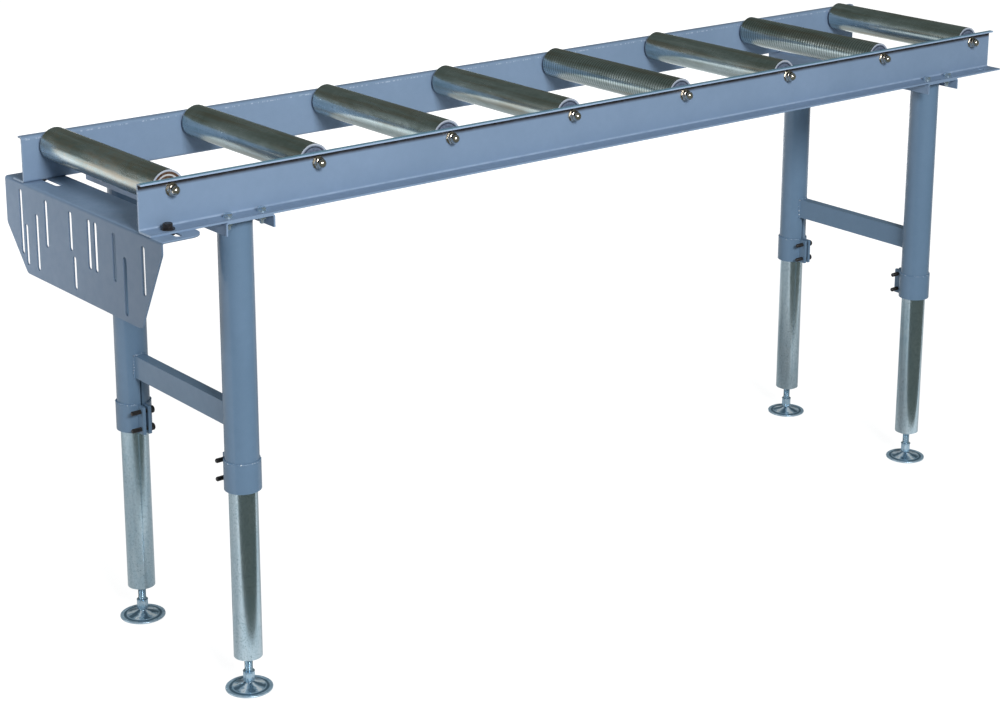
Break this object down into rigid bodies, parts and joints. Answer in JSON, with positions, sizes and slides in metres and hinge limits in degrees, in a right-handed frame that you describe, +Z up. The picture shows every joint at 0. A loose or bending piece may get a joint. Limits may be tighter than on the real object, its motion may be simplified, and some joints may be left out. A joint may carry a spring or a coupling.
{
  "type": "roller conveyor",
  "caption": "Free-standing gravity roller table: folded steel side rails with free-turning rollers, telescopic legs on levelling feet and a slotted end bracket.",
  "frame": {"origin": "on the floor, under the middle of the overall box", "axes": "+X along the rails away from the end bracket, +Y from the front rail to the rear rail, +Z up"},
  "size_m": [2, 0.51, 0.9145],
  "materials": {
    "frame_paint": "blue-grey paint with a fine texture, satin",
    "roller_zinc": "zinc-plated tube, fine turned marks, semi-bright",
    "tube_zinc": "galvanised tube, bright, faint spangle",
    "bright_zinc": "bright zinc plating",
    "stainless_steel": "polished stainless steel, warm",
    "bearing_steel": "ground steel, lightly oiled",
    "black_steel": "black oxide, satin"
  },
  "bodies": {
    "frame": {"front_rail": "frame_paint", "rear_rail": "frame_paint", "left_crossbeam": "frame_paint", "right_crossbeam": "frame_paint", "left_brace": "frame_paint", "right_brace": "frame_paint", "front_left_leg_tube": "frame_paint", "front_left_clamp_collar": "frame_paint", "rear_left_leg_tube": "frame_paint", "rear_left_clamp_collar": "frame_paint", "front_right_leg_tube": "frame_paint", "front_right_clamp_collar": "frame_paint", "rear_right_leg_tube": "frame_paint", "rear_right_clamp_collar": "frame_paint", "roller_axles": "bright_zinc", "bearing_inner_rings": "bearing_steel", "bearing_spacers": "bright_zinc", "axle_washers": "stainless_steel", "axle_nuts": "stainless_steel", "frame_bolts": "bright_zinc", "frame_washers": "bright_zinc", "frame_nuts": "bright_zinc", "bracket_bolts": "black_steel", "bracket_nuts": "black_steel", "clamp_screws": "black_steel"},
    "end_bracket": {"end_bracket": "frame_paint"},
    "front_left_lower_leg": {"front_left_inner_tube": "tube_zinc", "front_left_foot_insert": "bright_zinc"},
    "front_left_spindle": {"front_left_foot_spindle": "bright_zinc"},
    "front_left_pad": {"front_left_foot_pad": "bright_zinc"},
    "rear_left_lower_leg": {"rear_left_inner_tube": "tube_zinc", "rear_left_foot_insert": "bright_zinc"},
    "rear_left_spindle": {"rear_left_foot_spindle": "bright_zinc"},
    "rear_left_pad": {"rear_left_foot_pad": "bright_zinc"},
    "front_right_lower_leg": {"front_right_inner_tube": "tube_zinc", "front_right_foot_insert": "bright_zinc"},
    "front_right_spindle": {"front_right_foot_spindle": "bright_zinc"},
    "front_right_pad": {"front_right_foot_pad": "bright_zinc"},
    "rear_right_lower_leg": {"rear_right_inner_tube": "tube_zinc", "rear_right_foot_insert": "bright_zinc"},
    "rear_right_spindle": {"rear_right_foot_spindle": "bright_zinc"},
    "rear_right_pad": {"rear_right_foot_pad": "bright_zinc"},
    "roller_1": {"roller_tube_1": "roller_zinc", "roller_ends_1": "bearing_steel"},
    "roller_2": {"roller_tube_2": "roller_zinc", "roller_ends_2": "bearing_steel"},
    "roller_3": {"roller_tube_3": "roller_zinc", "roller_ends_3": "bearing_steel"},
    "roller_4": {"roller_tube_4": "roller_zinc", "roller_ends_4": "bearing_steel"},
    "roller_5": {"roller_tube_5": "roller_zinc", "roller_ends_5": "bearing_steel"},
    "roller_6": {"roller_tube_6": "roller_zinc", "roller_ends_6": "bearing_steel"},
    "roller_7": {"roller_tube_7": "roller_zinc", "roller_ends_7": "bearing_steel"},
    "roller_8": {"roller_tube_8": "roller_zinc", "roller_ends_8": "bearing_steel"}
  },
  "joints": [
    {"name": "bracket_slide", "type": "slide", "parent": "frame", "child": "end_bracket", "axis": [0, 1, 0], "range_m": [-0.029, 0.029]},
    {"name": "front_left_leg_slide", "type": "slide", "parent": "frame", "child": "front_left_lower_leg", "axis": [0, 0, 1], "range_m": [-0.06, 0.26]},
    {"name": "front_left_foot_screw", "type": "slide", "parent": "front_left_lower_leg", "child": "front_left_spindle", "axis": [0, 0, 1], "range_m": [-0.04, 0.024]},
    {"name": "front_left_pad_tilt", "type": "hinge", "parent": "front_left_spindle", "child": "front_left_pad", "pos_m": [-0.822, -0.176, 0.007], "axis": [0, 1, 0], "range_deg": [-8, 8]},
    {"name": "rear_left_leg_slide", "type": "slide", "parent": "frame", "child": "rear_left_lower_leg", "axis": [0, 0, 1], "range_m": [-0.06, 0.26]},
    {"name": "rear_left_foot_screw", "type": "slide", "parent": "rear_left_lower_leg", "child": "rear_left_spindle", "axis": [0, 0, 1], "range_m": [-0.04, 0.024]},
    {"name": "rear_left_pad_tilt", "type": "hinge", "parent": "rear_left_spindle", "child": "rear_left_pad", "pos_m": [-0.822, 0.176, 0.007], "axis": [0, 1, 0], "range_deg": [-8, 8]},
    {"name": "front_right_leg_slide", "type": "slide", "parent": "frame", "child": "front_right_lower_leg", "axis": [0, 0, 1], "range_m": [-0.06, 0.26]},
    {"name": "front_right_foot_screw", "type": "slide", "parent": "front_right_lower_leg", "child": "front_right_spindle", "axis": [0, 0, 1], "range_m": [-0.04, 0.024]},
    {"name": "front_right_pad_tilt", "type": "hinge", "parent": "front_right_spindle", "child": "front_right_pad", "pos_m": [0.822, -0.176, 0.007], "axis": [0, 1, 0], "range_deg": [-8, 8]},
    {"name": "rear_right_leg_slide", "type": "slide", "parent": "frame", "child": "rear_right_lower_leg", "axis": [0, 0, 1], "range_m": [-0.06, 0.26]},
    {"name": "rear_right_foot_screw", "type": "slide", "parent": "rear_right_lower_leg", "child": "rear_right_spindle", "axis": [0, 0, 1], "range_m": [-0.04, 0.024]},
    {"name": "rear_right_pad_tilt", "type": "hinge", "parent": "rear_right_spindle", "child": "rear_right_pad", "pos_m": [0.822, 0.176, 0.007], "axis": [0, 1, 0], "range_deg": [-8, 8]},
    {"name": "roller_1_spin", "type": "hinge", "parent": "frame", "child": "roller_1", "pos_m": [-0.942, 0, 0.886], "axis": [0, 1, 0], "continuous": true},
    {"name": "roller_2_spin", "type": "hinge", "parent": "frame", "child": "roller_2", "pos_m": [-0.67286, 0, 0.886], "axis": [0, 1, 0], "continuous": true},
    {"name": "roller_3_spin", "type": "hinge", "parent": "frame", "child": "roller_3", "pos_m": [-0.40371, 0, 0.886], "axis": [0, 1, 0], "continuous": true},
    {"name": "roller_4_spin", "type": "hinge", "parent": "frame", "child": "roller_4", "pos_m": [-0.13457, 0, 0.886], "axis": [0, 1, 0], "continuous": true},
    {"name": "roller_5_spin", "type": "hinge", "parent": "frame", "child": "roller_5", "pos_m": [0.13457, 0, 0.886], "axis": [0, 1, 0], "continuous": true},
    {"name": "roller_6_spin", "type": "hinge", "parent": "frame", "child": "roller_6", "pos_m": [0.40371, 0, 0.886], "axis": [0, 1, 0], "continuous": true},
    {"name": "roller_7_spin", "type": "hinge", "parent": "frame", "child": "roller_7", "pos_m": [0.67286, 0, 0.886], "axis": [0, 1, 0], "continuous": true},
    {"name": "roller_8_spin", "type": "hinge", "parent": "frame", "child": "roller_8", "pos_m": [0.942, 0, 0.886], "axis": [0, 1, 0], "continuous": true}
  ]
}
